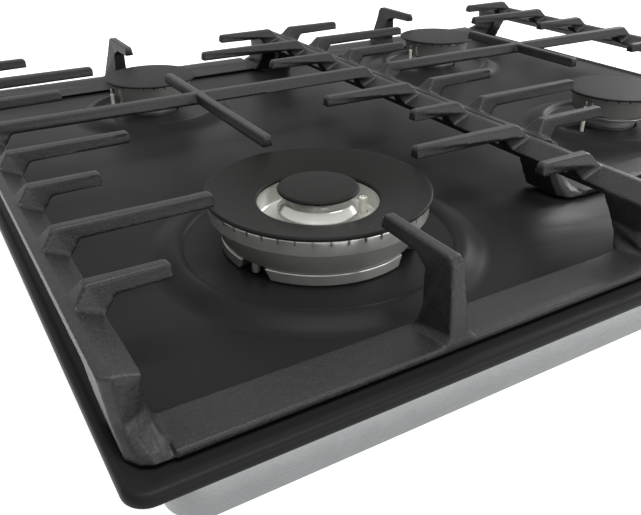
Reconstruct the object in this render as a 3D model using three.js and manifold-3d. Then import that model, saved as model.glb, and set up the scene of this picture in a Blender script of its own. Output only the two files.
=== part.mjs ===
// Four-burner built-in gas hob: enamelled tray, two cast-iron grates, sealed burners and the gas train below.
// Millimetres, X right, Y to the back, Z up. The frame sits under the middle of the casing.
import * as THREE from 'three';
import { mergeVertices } from 'three/addons/utils/BufferGeometryUtils.js';
import Module from 'manifold-3d';

const wasm = await Module();
wasm.setup();

// ---- overall sizes ----
const hobWidth = 600;
const hobDepth = 520;
const casingDepth = 41;        // casing below the worktop
const grateTop = 46.8;         // pan level above the worktop
const rimRise = 5;             // rolled edge above the worktop
const trayRise = 3.6;          // flat of the tray above the worktop
const sheet = 1.4;             // enamelled steel of the tray
const gap = 0.3;               // fit between touching pieces
const trayZ = casingDepth + trayRise;
const panZ = casingDepth + grateTop;
const halfW = hobWidth / 2;
const halfD = hobDepth / 2;

// ---- materials ----
const paint = (name, color, metalness, roughness) =>
  Object.assign(new THREE.MeshStandardMaterial({ color, metalness, roughness }), { name });
const enamel = paint('black_enamel', 0x2e2e2f, 0.0, 0.42);
const castIron = paint('enamelled_cast_iron', 0x262627, 0.0, 0.7);
const capEnamel = paint('matt_cap_enamel', 0x2b2b2a, 0.0, 0.6);
const aluminium = paint('die_cast_aluminium', 0xb9bbb8, 0.9, 0.35);
const zinc = paint('galvanised_steel', 0x9a9d9b, 0.85, 0.4);
const brass = paint('machined_brass', 0xb99a55, 0.9, 0.35);
const ceramic = paint('glazed_ceramic', 0xe9e6dd, 0.0, 0.3);
const steel = paint('bright_steel', 0xa7a8a6, 0.9, 0.3);
const foam = paint('foam_rubber', 0x1d1d1e, 0.0, 0.9);
const rubber = paint('silicone_rubber', 0x202021, 0.0, 0.8);
const plastic = paint('black_plastic', 0x1a1a1b, 0.0, 0.5);
const pale = paint('white_plastic', 0xd9d9d4, 0.0, 0.5);

// ---- solid helpers ----
const group = new THREE.Group();
group.name = 'cooktop';

function toSolid(geometry) {
  const g = geometry.clone();
  g.deleteAttribute('normal');
  g.deleteAttribute('uv');
  const merged = mergeVertices(g, 1e-4);
  const pos = merged.getAttribute('position');
  const idx = merged.index.array;
  let volume = 0;
  const a = new THREE.Vector3(), b = new THREE.Vector3(), c = new THREE.Vector3();
  const tris = [];
  for (let i = 0; i < idx.length; i += 3) {
    const [p, q, r] = [idx[i], idx[i + 1], idx[i + 2]];
    if (p === q || q === r || p === r) continue;
    tris.push(p, q, r);
    a.fromBufferAttribute(pos, p); b.fromBufferAttribute(pos, q); c.fromBufferAttribute(pos, r);
    volume += a.dot(b.cross(c));
  }
  if (volume < 0) for (let i = 0; i < tris.length; i += 3) [tris[i + 1], tris[i + 2]] = [tris[i + 2], tris[i + 1]];
  return new wasm.Manifold(new wasm.Mesh({
    numProp: 3, vertProperties: new Float32Array(pos.array), triVerts: new Uint32Array(tris),
  }));
}

function add(name, solid, material) {
  const m = solid.getMesh();
  const g = new THREE.BufferGeometry();
  g.setAttribute('position', new THREE.BufferAttribute(new Float32Array(m.vertProperties), 3));
  g.setIndex(new THREE.BufferAttribute(new Uint32Array(m.triVerts), 1));
  g.computeVertexNormals();
  const mesh = new THREE.Mesh(g, material.clone());
  mesh.name = name;
  group.add(mesh);
}

const join = (list) => list.reduce((all, one) => all.add(one));

function box(x0, x1, y0, y1, z0, z1) {
  const g = new THREE.BoxGeometry(x1 - x0, y1 - y0, z1 - z0);
  g.translate((x0 + x1) / 2, (y0 + y1) / 2, (z0 + z1) / 2);
  return toSolid(g);
}

// rod along 'x', 'y' or 'z' between two stations
function rod(radius, from, to, axis, u, v, sides = 24, endRadius = radius) {
  const g = new THREE.CylinderGeometry(endRadius, radius, to - from, sides);
  g.translate(0, (from + to) / 2, 0);
  if (axis === 'z') { g.rotateX(Math.PI / 2); g.translate(u, v, 0); }
  if (axis === 'x') { g.rotateZ(-Math.PI / 2); g.translate(0, u, v); }
  if (axis === 'y') g.translate(u, 0, v);
  return toSolid(g);
}

// turned piece about a vertical axis: profile of [radius, height], closed on itself
function turned(profile, x, y, sides = 48) {
  const pts = profile.map(([r, z]) => new THREE.Vector2(Math.max(r, 0), z));
  if (profile[0][0] > 0 || profile.at(-1)[0] > 0) pts.push(pts[0].clone());
  const g = new THREE.LatheGeometry(pts, sides);
  g.rotateX(Math.PI / 2);
  g.translate(x, y, 0);
  return toSolid(g);
}

// skin over a row of outlines that hold the same number of points, with flat ends or closed in a ring
function skin(outlines, ring = false) {
  const n = outlines[0].length;
  const index = [];
  const rows = ring ? outlines.length : outlines.length - 1;
  for (let i = 0; i < rows; i++) {
    const lo = i * n, hi = ((i + 1) % outlines.length) * n;
    for (let j = 0; j < n; j++) {
      const k = (j + 1) % n;
      index.push(lo + j, lo + k, hi + k, lo + j, hi + k, hi + j);
    }
  }
  if (!ring) {
    for (const [p, q, r] of endFace(outlines[0])) index.push(p, r, q);
    const last = (outlines.length - 1) * n;
    for (const [p, q, r] of endFace(outlines.at(-1))) index.push(last + p, last + q, last + r);
  }
  const g = new THREE.BufferGeometry();
  g.setAttribute('position', new THREE.Float32BufferAttribute(outlines.flat(2), 3));
  g.setIndex(index);
  return toSolid(g);
}

// triangles of an end face, laid along its two widest directions and kept in the outline's own turn
function endFace(outline) {
  const span = [0, 1, 2].map((k) => {
    const values = outline.map((p) => p[k]);
    return Math.max(...values) - Math.min(...values);
  });
  const drop = span.indexOf(Math.min(...span));
  const [u, v] = [0, 1, 2].filter((k) => k !== drop);
  const flat = outline.map((p) => new THREE.Vector2(p[u], p[v]));
  const turn = Math.sign(THREE.ShapeUtils.area(flat));
  return THREE.ShapeUtils.triangulateShape(flat, []).map(([p, q, r]) => {
    const own = Math.sign(THREE.ShapeUtils.area([flat[p], flat[q], flat[r]]));
    return own === turn ? [p, q, r] : [p, r, q];
  });
}

// rounded rectangle at one height, drawn in from the hob's outline or a given half size
function rounded(hx, hy, radius, z, arc = 3, cx = 0, cy = 0) {
  const out = [];
  for (let corner = 0; corner < 4; corner++) {
    const sx = corner === 0 || corner === 3 ? 1 : -1;
    const sy = corner < 2 ? 1 : -1;
    for (let i = 0; i <= arc; i++) {
      const t = (corner + i / arc) * Math.PI / 2;
      out.push([cx + sx * (hx - radius) + radius * Math.cos(t), cy + sy * (hy - radius) + radius * Math.sin(t), z]);
    }
  }
  return out;
}

// a rib seen from its side: points of [along, height, half width], standing on a line across X or Y
function rib(points, line, axis) {
  const side = (s) => points.map(([a, z, h]) => (axis === 'x' ? [a, line + s * h, z] : [line + s * h, a, z]));
  return skin([side(-1), side(1)]);
}

// pipe swept along a smooth path
function pipe(points, radius, sides = 6, steps = 14) {
  const path = new THREE.CatmullRomCurve3(points.map((p) => new THREE.Vector3(...p)), false, 'catmullrom', 0.25);
  const shape = new THREE.Shape();
  for (let i = 0; i < sides; i++) {
    const t = (i / sides) * Math.PI * 2;
    shape[i ? 'lineTo' : 'moveTo'](radius * Math.cos(t), radius * Math.sin(t));
  }
  shape.closePath();
  return toSolid(new THREE.ExtrudeGeometry(shape, { extrudePath: path, steps, bevelEnabled: false }));
}

// ---- burners ----
// each: centre, cap radius, cap top above the worktop, ring pressed into the tray round it
const column = 149.25;                 // burner columns left and right of the middle
const small = { cap: 36.5, capTop: 33, ring: 66, knock: 27, ports: 14 };
const burners = [
  { name: 'wok', x: -column, y: -128, cap: 60, capTop: 36.5, ring: 93, knock: 41, ports: 60 },
  { name: 'rear_left', x: -column, y: 147, ...small },
  { name: 'rear_right', x: column, y: 147, ...small },
  { name: 'front_right', x: column, y: -73, ...small },
];
const knobX = [60, 120, 180, 240];
const knobY = -212;
const railX = 260;                     // gas rail: along the taps, then back along the right wall
const railY = knobY - 14.4;
const railZ = 20;
const ringRise = 5;                    // crest of the pressed ring over the tray
const floorRise = 2.2;                 // burner floor inside the ring over the tray
const floorZ = trayZ + floorRise;

const pinRadius = (b) => (b.name === 'wok' ? 25 : 36.2);
const pinAngles = (b) => (b.name === 'wok' ? [-70, -135] : [180, 60]);
const polar = (b, radius, degrees) => [
  b.x + radius * Math.cos(degrees * Math.PI / 180), b.y + radius * Math.sin(degrees * Math.PI / 180),
];

// ---- tray ----
{
  const out = (inset, z, radius) => rounded(halfW - inset, halfD - inset, radius, z);
  const w = casingDepth;
  let tray = skin([
    out(9.6, trayZ - sheet, 4), out(7.4, trayZ - sheet, 5), out(5.6, w + 3.3, 6), out(4.2, w + 3.6, 7),
    out(2.6, w + 3.1, 8), out(1.5, w + 1.6, 9), out(1.4, w, 9),
    out(0, w, 10), out(0.2, w + 1.8, 10), out(1.0, w + 3.5, 9), out(2.3, w + 4.6, 8.5), out(4.0, w + rimRise, 8),
    out(5.8, w + rimRise - 0.4, 7), out(7.4, trayZ + 0.1, 6), out(9.6, trayZ, 4),
  ]);
  for (const b of burners) {
    const r = b.ring, crest = trayZ + ringRise, below = trayZ - sheet;
    const dish = [
      [0, below], [r, below], [r, trayZ], [r - 5, trayZ + 1.8], [r - 11.5, crest - 0.3], [r - 14.5, crest],
      [r - 19.5, floorZ], [0, floorZ],
    ];
    const hollow = [
      [0, below - 1], [r - 4, below - 1], [r - 12.4, crest - sheet - 0.8], [r - 18, floorZ - sheet], [0, floorZ - sheet],
    ];
    tray = tray.add(turned(dish, b.x, b.y, 20)).subtract(turned(hollow, b.x, b.y, 20));
    tray = tray.subtract(rod(b.knock - 7, trayZ - 6, trayZ + 12, 'z', b.x, b.y, 16));
  }
  for (const b of burners.slice(1)) for (const angle of pinAngles(b))
    tray = tray.subtract(rod(3.2, trayZ - 4, trayZ + 8, 'z', ...polar(b, pinRadius(b), angle), 8));
  for (const x of knobX) tray = tray.subtract(rod(6, trayZ - 4, trayZ + 4, 'z', x, knobY, 12));
  add('top_plate', tray, enamel);
}

// ---- casing ----
const boxHalfX = 279, boxHalfY = 239, boxRadius = 17, boxSheet = 1.2;
const boxTop = trayZ - sheet - gap;
{
  const wall = (inset, z, r) => rounded(boxHalfX - inset, boxHalfY - inset, r, z, 5);
  let casing = skin([
    wall(boxSheet, boxTop, boxRadius - boxSheet), wall(boxSheet, boxSheet, boxRadius - boxSheet),
  ].reverse().concat([
    wall(0, boxTop, boxRadius), wall(0, 2.5, boxRadius), wall(2.5, 0, boxRadius - 1.5),
  ]));
  for (let i = 0; i < 9; i++) casing = casing.subtract(box(-60 + i * 15, -53 + i * 15, 200, 230, -1, 3));
  casing = casing.subtract(rod(7.2, 230, 245, 'y', railX, railZ, 12)).subtract(rod(6.8, 230, 245, 'y', 150, 22, 12));
  // worktop clamps riveted to the front and back walls
  for (const x of [-180, 180]) for (const side of [-1, 1]) {
    const y = (p, q) => [p, q].map((d) => side * (boxHalfY + d)).sort((m, n) => m - n);
    casing = casing.add(box(x - 9, x + 9, ...y(-0.5, 1.5), 8, 34)).add(box(x - 9, x + 9, ...y(0.2, 16), 8, 9.8));
    casing = casing.add(box(x - 9, x + 9, ...y(14.4, 16), 9, 14)).subtract(rod(2.6, ...y(-4, 4), 'y', x, 24, 12));
  }
  add('burner_box', casing, zinc);
}
add('worktop_seal', skin([
  rounded(288, 248, 6, casingDepth, 2), rounded(288, 248, 6, boxTop - 0.4, 2),
  rounded(281, 241, 10, boxTop - 0.4, 2), rounded(281, 241, 10, casingDepth, 2),
], true), foam);

// ---- burner sets: cup below the tray, slotted crown, cap, spark electrode and flame sensor ----
function radialCuts(b, count, r0, r1, width, z0, z1, start = 0) {
  const cuts = [];
  for (let i = 0; i < count; i++) {
    const g = new THREE.BoxGeometry(r1 - r0, width, z1 - z0);
    g.translate((r0 + r1) / 2, 0, (z0 + z1) / 2);
    g.rotateZ(start + (i / count) * Math.PI * 2);
    g.translate(b.x, b.y, 0);
    cuts.push(toSolid(g));
  }
  return wasm.Manifold.union(cuts);
}

for (const b of burners) {
  const wok = b.name === 'wok';
  const top = casingDepth + b.capTop;
  const capFoot = top - 3.4;
  const crownTop = capFoot - gap;
  const k = b.knock;                   // radius of the cup's flange
  const neck = k - 8.5;                // cup wall through the tray
  const inner = neck - 2.2;
  const seat = floorZ + gap;
  // cup with its flange on the burner floor and a gas boss on the side
  let cup = turned([
    [4, 16], [neck - 2, 16], [neck, 20], [neck, seat], [k, seat], [k, seat + 1.6], [k - 3, seat + 6],
    [inner, seat + 6], [inner, 19], [4, 19],
  ], b.x, b.y, 14);
  const side = b.name === 'front_right' ? -1 : 1;
  const reach = (a, c) => [Math.min(b.x + side * a, b.x + side * c), Math.max(b.x + side * a, b.x + side * c)];
  cup = cup.add(rod(7, ...reach(neck - 2, neck + 12), 'x', b.y, 27, 12));
  cup = cup.subtract(rod(3.6, ...reach(neck - 4, neck + 13), 'x', b.y, 27, 8));
  if (!wok) for (const angle of pinAngles(b)) {
    // lugs under the tray that carry the electrode and the flame sensor
    const lug = new THREE.BoxGeometry(24, 8, 4);
    lug.translate(neck + 10.5, 0, 38).rotateZ(angle * Math.PI / 180).translate(b.x, b.y, 0);
    cup = cup.add(toSolid(lug)).subtract(rod(2.9, 30, 42, 'z', ...polar(b, pinRadius(b), angle), 8));
  }
  add(`${b.name}_cup`, cup, aluminium);

  // crown: flared skirt with a row of flame ports under the cap
  const foot = seat + 6 + gap;
  const rim = b.cap - (wok ? 2.6 : 3.2);
  let crown;
  if (wok) {
    crown = turned([
      [inner - 1, foot], [k + 3, foot], [k + 6, foot + 4], [rim - 9, foot + 6], [rim - 4, foot + 8.5],
      [rim, crownTop - 8], [rim, crownTop - 5.4], [rim - 1.6, crownTop - 4.6], [rim - 1.6, crownTop],
      [rim - 6, crownTop], [rim - 6, foot + 11], [37.5, foot + 11], [37.5, crownTop], [33.8, crownTop],
      [33.8, foot + 7], [20, foot + 7], [20, crownTop], [16.6, crownTop], [16.6, foot + 3], [inner - 1, foot + 3],
    ], b.x, b.y, 26);
    crown = crown.subtract(radialCuts(b, 26, rim - 8, rim + 2, 1.3, crownTop - 3.4, crownTop + 1));
    crown = crown.subtract(radialCuts(b, 8, 14, 22, 1.4, crownTop - 3.2, crownTop + 1, 0.1));
    for (const angle of pinAngles(b))
      crown = crown.subtract(rod(3.4, foot - 1, foot + 9, 'z', ...polar(b, pinRadius(b), angle), 8));
  } else {
    crown = turned([
      [inner - 1, foot], [k + 0.5, foot], [k + 2.2, foot + 3], [rim - 3, foot + 5.5], [rim, crownTop - 7.5],
      [rim, crownTop], [rim - 4, crownTop], [rim - 4, foot + 8], [12, foot + 8], [12, foot + 4],
      [inner - 1, foot + 4],
    ], b.x, b.y, 18);
    crown = crown.subtract(radialCuts(b, b.ports, rim - 5, rim + 2, 1.6, crownTop - 5, crownTop + 1, 0.05));
  }
  add(`${b.name}_crown`, crown, aluminium);

  // caps with a rounded edge and a locating skirt
  const h = wok ? 32 : 0;
  if (wok) {
    add('wok_ring_cap', turned([
      [h + 0.6, capFoot], [b.cap - 0.8, capFoot], [b.cap, capFoot + 0.9], [b.cap, top - 1.4],
      [b.cap - 1.4, top], [h + 1, top], [h, top - 1],
    ], b.x, b.y, 30), capEnamel);
    add('wok_inner_cap', turned([
      [0, capFoot], [20.4, capFoot], [21, capFoot + 0.8], [21, top - 1.2], [19.8, top], [0, top + 0.4],
    ], b.x, b.y, 20), capEnamel);
  } else {
    add(`${b.name}_cap`, turned([
      [0, capFoot - 3], [rim - 9, capFoot - 3], [rim - 8, capFoot], [b.cap - 0.8, capFoot], [b.cap, capFoot + 0.8],
      [b.cap, top - 1.3], [b.cap - 1.3, top], [0, top + 0.4],
    ], b.x, b.y, 22), capEnamel);
  }
}

// ---- spark electrodes and flame sensors, standing through the crown or beside it ----
for (const b of burners) {
  const wok = b.name === 'wok';
  const tip = casingDepth + b.capTop - 5;
  const foot = wok ? 19.6 : 35;
  const [ex, ey] = polar(b, pinRadius(b), pinAngles(b)[0]);
  const [tx, ty] = polar(b, pinRadius(b), pinAngles(b)[1]);
  add(`${b.name}_electrode`, turned([
    [0, foot], [2.3, foot], [2.3, tip - 5], [1.5, tip - 4], [0.9, tip - 4], [0.9, tip - 0.4], [0, tip],
  ], ex, ey, 8), ceramic);
  add(`${b.name}_flame_sensor`, turned([
    [0, foot], [2.6, foot], [2.6, foot + 8], [1.7, foot + 9], [1.7, tip - 1.6], [1.1, tip - 0.5], [0, tip - 0.3],
  ], tx, ty, 8), steel);
}

// ---- controls: tap, turning plug, push spindle and knob ----
const tapTop = 39.5;
const knobFoot = trayZ + 5;            // leaves room for the push under the knob
const knobTop = 70;
const pushTravel = 4;                  // knob pressed in before it turns
const plugTop = 51.8;
const spindleTop = 62;
const knobBore = plugTop + pushTravel + gap;
knobX.forEach((x, i) => {
  const n = i + 1;
  let tap = box(x - 11, x + 11, knobY - 7, knobY + 13, 14, 31);
  tap = tap.add(rod(9.5, 30.5, 36, 'z', x, knobY, 10)).add(rod(6.2, 35.5, tapTop, 'z', x, knobY, 10));
  tap = tap.add(rod(5.8, knobY + 12, knobY + 20, 'y', x, 27, 6)).subtract(rod(3.2, knobY + 4, knobY + 21, 'y', x, 27, 8));
  tap = tap.subtract(rod(3.2, knobY - 8, knobY - 2, 'y', x, railZ, 8));
  add(`gas_tap_${n}`, tap, brass);
  add(`tap_plug_${n}`, turned([
    [3.3, tapTop + gap], [5, tapTop + gap], [5, plugTop], [3.3, plugTop],
  ], x, knobY, 12), brass);
  let spindle = rod(3, 44.4, spindleTop, 'z', x, knobY, 10);
  spindle = spindle.subtract(box(x - 4, x + 4, knobY + 1.6, knobY + 4, 53, 63));
  add(`tap_spindle_${n}`, spindle, steel);
  let knob = turned([
    [6, knobFoot], [19.4, knobFoot], [20, knobFoot + 1.5], [18.6, knobFoot + 4],
    [16.8, knobFoot + 4.4], [15.8, knobTop - 1.4], [14.6, knobTop], [0, knobTop], [0, spindleTop + gap],
    [3.3, spindleTop + gap], [3.3, knobBore], [6, knobBore],
  ], x, knobY, 14);
  for (const s of [-1, 1]) {
    const near = Math.min(s * 9, s * 24), far = Math.max(s * 9, s * 24);
    knob = knob.subtract(box(x + near, x + far, knobY - 22, knobY + 22, knobFoot + 5, knobTop + 4));
  }
  knob = knob.add(box(x - 1, x + 1, knobY + 5, knobY + 14.2, knobTop - 1, knobTop + 0.8));
  add(`knob_${n}`, knob, plastic);
});

// ---- gas train in the casing ----

let rail = rod(6.5, 46, railX, 'x', railY, railZ, 12).add(rod(6.5, railY, 218, 'y', railX, railZ, 12));
for (const x of knobX) rail = rail.add(rod(3.6, railY, knobY - 7.3, 'y', x, railZ, 8));
add('gas_rail', rail, zinc);
let inlet = rod(8.4, 218.4, 224, 'y', railX, railZ, 6).add(rod(6.4, 222, 252, 'y', railX, railZ, 12));
inlet = inlet.add(rod(9.6, 239.6, 243, 'y', railX, railZ, 6)).subtract(rod(4, 217, 253, 'y', railX, railZ, 8));
add('gas_inlet', inlet, brass);
burners.forEach((b) => {
  const [index, side, bends] = {
    wok: [0, 1, [[20, -150]]],
    rear_left: [1, 1, [[86, -150], [0, -20], [-70, 110]]],
    front_right: [2, -1, [[150, -160], [98, -110]]],
    rear_right: [3, 1, [[232, -120], [222, 60]]],
  }[b.name];
  const end = b.x + side * (b.knock - 8.5 + 12 + gap);
  const points = [
    [knobX[index], knobY + 20 + gap, 27], [knobX[index], knobY + 32, 27],
    ...bends.map(([x, y]) => [x, y, 27]), [end + side * 10, b.y, 27], [end, b.y, 27],
  ];
  add(`${b.name}_gas_pipe`, pipe(points, 4), aluminium);
});

// ---- spark generator and mains inlet gland ----
add('spark_generator', box(-40, 20, 150, 190, 6, 34).add(box(-44, 24, 160, 180, 4, 8))
  .subtract(join([0, 1, 2, 3].map((i) => rod(2, 148, 156, 'y', -28 + i * 12, 26, 12)))), pale);
add('mains_gland', rod(8.6, 229, 236.8, 'y', 150, 22, 6).add(rod(6, 234, 250, 'y', 150, 22, 12))
  .add(rod(9.4, 239.8, 246, 'y', 150, 22, 6)).subtract(rod(3.8, 228, 251, 'y', 150, 22, 8)), plastic);
// ---- cast-iron grates ----
const barTop = panZ - 7.5;             // side bars lie below the pan fingers
const barPart = barTop - 6.3;          // widest line of a side bar
const barFoot = barTop - 12.6;
const gridFoot = trayZ + 1.5;          // grate held off the tray by its rubber feet
const railTop = trayZ + 5;             // flat top of the low bars at front and back
const flangeEnd = 26.5;                // low bar: its flange runs this far in over the tray
const barInset = 11.5;                 // low bars in from the hob's front and back edges
const grateHalf = 148.95;
const rowPitch = 55.05;
const firstRow = -183;
const fingerDepth = 7.4;
const rows = (i) => firstRow + i * rowPitch;

function fingerRoot(reach) {
  const u = grateHalf;
  return [
    [u - 2.6, barTop - 0.6, 8], [u - 4.4, barTop + 0.3, 6.6], [u - 6.6, barTop + 2.9, 3.9], [u - 10.5, panZ, 3.1],
    ...reach,
    [u - 21.5, panZ - fingerDepth - 0.2, 4], [u - 16.6, barPart, 5.4], [u - 9, barFoot + 1, 6.4], [u - 3, barTop - 6, 7.4],
  ];
}

function finger(cx, side, row, length) {
  const tip = grateHalf - 10.5 - length;
  const points = fingerRoot([
    [tip + 1.6, panZ, 3], [tip, panZ - 1.6, 2.7], [tip, panZ - fingerDepth + 0.6, 3.6],
  ]).map(([u, z, h]) => [cx + side * u, z, h]);
  return rib(points, row, 'x');
}

function crossBar(cx, row) {
  const half = fingerRoot([]);
  const upper = half.slice(0, 4), lower = half.slice(4);
  const left = [...lower, ...upper].map(([u, z, h]) => [cx - u, z, h]);
  const right = [...upper.slice().reverse(), ...lower.slice().reverse()].map(([u, z, h]) => [cx + u, z, h]);
  return rib([...left, ...right], row, 'x');
}

// upright and arm reaching from a low bar over the burner: v runs inward from the bar's outer face
function post(cx, face, inward, reach) {
  const points = [
    [0.3, gridFoot + 0.8, 11], [0.6, railTop, 8], [1.6, railTop + 4, 5], [6.1, panZ - 3.4, 3.7], [8.9, panZ, 3.2],
    [reach - 1.6, panZ, 3], [reach, panZ - 1.6, 2.7], [reach, panZ - fingerDepth + 0.6, 3.6],
    [29.5, panZ - fingerDepth - 0.2, 4], [23.1, panZ - 11, 4.3], [22.3, railTop + 5, 4.9],
    [24.5, railTop - 1.6, 7], [25, gridFoot + 0.8, 9],
  ];
  return rib(points.map(([v, z, h]) => [face + inward * v, z, h]), cx, 'y');
}

// corner leg: outlines of [in from the centre line, in from the low bar's face] at rising heights
function leg(cx, side, face, inward, lean) {
  const u = grateHalf;
  const level = [
    [gridFoot, [[4, 34], [3.9, 7.6], [7.4, 2.6], [12, 0.3], [22, 0.3], [24, 8], [20, 30]]],
    [railTop, [[3.6, 36], [3.4, 9.5], [6.9, 4.6], [11.4, 2.6], [15.5, 3.4], [18.5, 9], [18, 32]]],
    [railTop + 4.4, [[3, 38], [2.9, 12.4], [5.9, 8.4], [10, 8], [17, 14.6], [18.2, 19], [16.5, 34]]],
    [railTop + 9.4, [[2.3, 40], [2.2, 14.5], [6, 11.5], [10, 12.9], [15.2, 17], [16.2, 20], [15.5, 38]]],
    [barPart, [[0.8, 46], [0.7, 14.5 + lean], [4.6, 12.1 + lean], [9, 13 + lean], [16, 16.5 + lean],
      [16.3, 19.5 + lean], [16.3, 46]]],
    [barTop, [[0, 46], [0, 14.5 + lean], [2.4, 12.5 + lean], [4.5, 11.5 + lean], [4.5, 12.7 + lean],
      [4.5, 15.5 + lean], [4.5, 46]]],
  ];
  return skin(level.map(([z, outline]) => outline.map(([a, v]) => [cx + side * (u - a), face + inward * v, z])));
}

function grate(name, cx, frontFace, lean, fingers, arms, cross) {
  const backFace = halfD - barInset;
  const u = grateHalf;
  const section = [[0, barTop], [4.5, barTop], [16.3, barPart], [9, barFoot], [1.4, barFoot]];
  const parts = [];
  for (const side of [-1, 1]) {
    const end = (y) => section.map(([a, z]) => [cx + side * (u - a), y, z]);
    parts.push(skin([end(frontFace + 34), end(backFace - 34)]));
    parts.push(leg(cx, side, frontFace, 1, lean), leg(cx, side, backFace, -1, 0));
    for (const [row, length] of fingers) parts.push(finger(cx, side, rows(row), length));
  }
  for (const [face, inward] of [[frontFace, 1], [backFace, -1]]) {
    const low = [[0, gridFoot], [0.5, railTop], [5, railTop], [flangeEnd, gridFoot + 0.9], [flangeEnd, gridFoot]];
    parts.push(skin([-1, 1].map((s) => low.map(([v, z]) => [cx + s * (u - 20), face + inward * v, z]))));
  }
  parts.push(crossBar(cx, rows(4)));
  parts.push(post(cx, frontFace, 1, arms[0]), post(cx, backFace, -1, arms[1]));
  const z0 = panZ - fingerDepth + 0.6;
  const [y0, y1] = cross;
  parts.push(rib([[y0, z0, 3.6], [y0, panZ - 1.6, 2.7], [y0 + 1.6, panZ, 3], [y1 - 1.6, panZ, 3],
    [y1, panZ - 1.6, 2.7], [y1, z0, 3.6]], cx, 'y'));
  let casting = join(parts);
  let n = 0;
  for (const face of [[frontFace, 1], [backFace, -1]]) for (const side of [-1, 1]) {
    const x = cx + side * (u - 15), y = face[0] + face[1] * 13;
    casting = casting.subtract(rod(2.5, gridFoot - 1, gridFoot + 2.6, 'z', x, y, 8));
    add(`${name}_foot_${++n}`, rod(4.2, trayZ + gap, gridFoot - gap, 'z', x, y, 12)
      .add(rod(2.2, gridFoot - gap - 0.1, gridFoot + 2.3, 'z', x, y, 8)), rubber);
  }
  add(name, casting, castIron);
}

grate('left_grate', -column, -halfD + barInset, 0,
  [[0, 35], [1, 77], [2, 37], [3, 69.5], [5, 55], [6, 92], [7, 52]], [57.5, 62], [-70, 98]);
grate('right_grate', column, -halfD + 96.5, 7,
  [[1, 53], [2, 88], [3, 57], [5, 55], [6, 92], [7, 52]], [46, 62], [-30, 98]);

export default group;
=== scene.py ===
import math
import bmesh
import bpy
from mathutils import Matrix, Vector


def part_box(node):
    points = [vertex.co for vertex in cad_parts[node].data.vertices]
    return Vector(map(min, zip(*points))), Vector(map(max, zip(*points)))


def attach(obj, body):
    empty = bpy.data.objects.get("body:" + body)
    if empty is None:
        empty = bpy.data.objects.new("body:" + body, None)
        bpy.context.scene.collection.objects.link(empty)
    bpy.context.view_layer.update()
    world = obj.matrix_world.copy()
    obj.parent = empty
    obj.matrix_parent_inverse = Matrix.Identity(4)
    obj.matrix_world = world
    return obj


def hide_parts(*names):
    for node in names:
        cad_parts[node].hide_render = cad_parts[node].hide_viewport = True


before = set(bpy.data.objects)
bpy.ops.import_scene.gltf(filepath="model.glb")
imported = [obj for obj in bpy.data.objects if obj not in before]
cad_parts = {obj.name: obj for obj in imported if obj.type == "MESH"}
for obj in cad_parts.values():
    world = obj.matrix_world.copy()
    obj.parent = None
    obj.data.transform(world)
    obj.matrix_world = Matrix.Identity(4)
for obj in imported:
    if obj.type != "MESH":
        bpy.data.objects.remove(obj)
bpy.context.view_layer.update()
print("frame loaded,", len(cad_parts), "nodes")

mm = 0.001
scene = bpy.context.scene

# Camera, matched to the photograph
cameraSettings = {
    "place": (-0.33003, -0.43478, 0.22970),
    "turn": 30.357,      # degrees from +Y towards +X
    "tip": 28.808,       # degrees below the horizon
    "roll": 0.17,
    "lens": 40.553,
    "shift": (0.0028, -0.0008),
}


def makeCamera(settings):
    turn, tip, roll = (math.radians(settings[key]) for key in ("turn", "tip", "roll"))
    forward = Vector((math.sin(turn) * math.cos(tip), math.cos(turn) * math.cos(tip), -math.sin(tip)))
    level = Vector((math.cos(turn), -math.sin(turn), 0))
    down = forward.cross(level)
    right = level * math.cos(roll) + down * math.sin(roll)
    up = -(down * math.cos(roll) - level * math.sin(roll))
    camera = bpy.data.objects.new("camera", bpy.data.cameras.new("camera"))
    scene.collection.objects.link(camera)
    turned = Matrix((right, up, -forward)).transposed()
    camera.matrix_world = Matrix.Translation(settings["place"]) @ turned.to_4x4()
    camera.data.sensor_width = 36
    camera.data.lens = settings["lens"]
    camera.data.shift_x, camera.data.shift_y = settings["shift"]
    camera.data.clip_start, camera.data.clip_end = 0.01, 60
    scene.camera = camera


makeCamera(cameraSettings)
scene.view_settings.view_transform = "Standard"


# Materials
def shade(hexColour):    # sRGB hex to the linear values that the shader takes
    channels = [int(hexColour[i:i + 2], 16) / 255 for i in (1, 3, 5)]
    linear = [c / 12.92 if c <= 0.04045 else ((c + 0.055) / 1.055) ** 2.4 for c in channels]
    return (*linear, 1.0)


def addNode(tree, kind, inputs=None, **settings):
    node = tree.nodes.new(kind)
    for key, value in settings.items():
        setattr(node, key, value)
    for socket, value in (inputs or {}).items():
        if isinstance(value, bpy.types.NodeSocket):
            tree.links.new(value, node.inputs[socket])
        else:
            node.inputs[socket].default_value = value
    return node


def newMaterial(name):
    material = bpy.data.materials.new(name)
    material.use_nodes = True
    material.node_tree.nodes.clear()
    return material, material.node_tree


def objectSpace(tree):
    return addNode(tree, "ShaderNodeTexCoord").outputs["Object"]


def noise(tree, space, size, detail):    # size of its features in millimetres
    inputs = {"Vector": space, "Scale": 1000 / size, "Detail": detail}
    return addNode(tree, "ShaderNodeTexNoise", inputs).outputs[0]


def cells(tree, space, size):    # size of a cell in millimetres
    return addNode(tree, "ShaderNodeTexVoronoi", {"Vector": space, "Scale": 1000 / size})


def mixColour(tree, factor, first, second):    # a colour is a hex string or a socket
    first, second = (shade(colour) if isinstance(colour, str) else colour for colour in (first, second))
    return addNode(tree, "ShaderNodeMix", {0: factor, 6: first, 7: second}, data_type="RGBA").outputs[2]


def spread(tree, value, low, high, fromLow=0.3, fromHigh=0.7):
    settings = {"Value": value, "From Min": fromLow, "From Max": fromHigh, "To Min": low, "To Max": high}
    return addNode(tree, "ShaderNodeMapRange", settings).outputs[0]


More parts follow.
